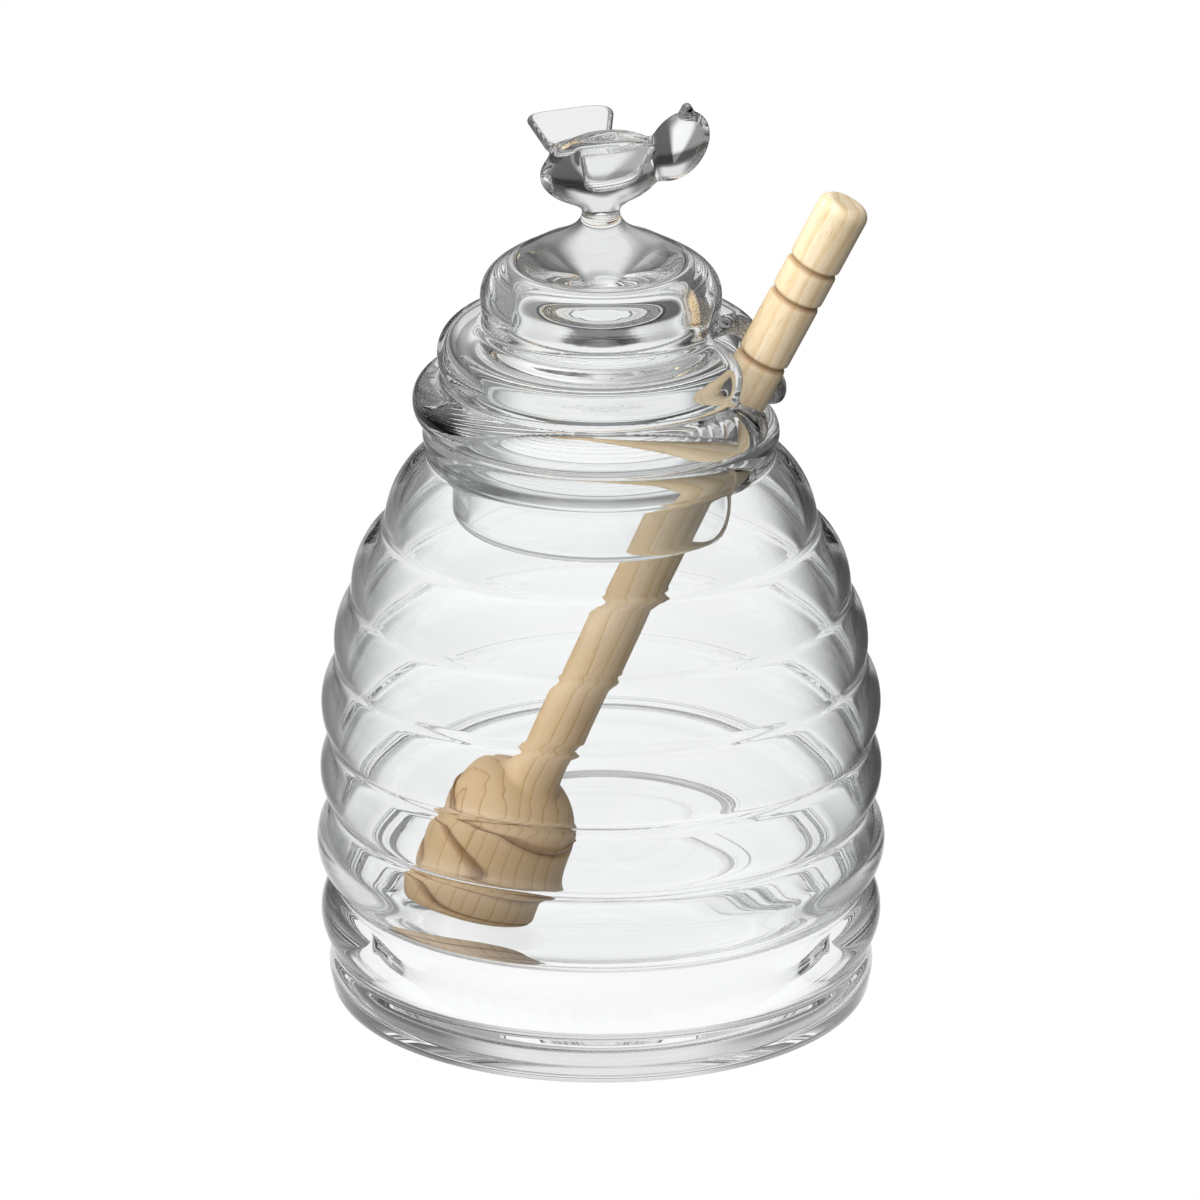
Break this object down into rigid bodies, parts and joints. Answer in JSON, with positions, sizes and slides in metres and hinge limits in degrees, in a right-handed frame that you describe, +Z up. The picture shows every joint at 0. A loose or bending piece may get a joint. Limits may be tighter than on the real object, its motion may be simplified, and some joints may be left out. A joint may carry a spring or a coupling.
{
  "type": "honey pot with spoon",
  "caption": "Clear glass beehive honey pot, ribbed and rounded, with a tiered glass lid that has a bee knob and a side notch, and a turned wooden dipper leaning in it.",
  "frame": {"origin": "centre of the pot's foot, on the surface it stands on", "axes": "+Z up along the pot's axis, +X towards the side where the dipper leans out through the lid's notch"},
  "size_m": [0.082, 0.082, 0.135],
  "materials": {
    "clear_glass": "glossy",
    "pale_wood": "matte"
  },
  "bodies": {
    "root": {"pot": "clear_glass", "lid": "clear_glass", "dipper": "pale_wood"}
  },
  "joints": []
}
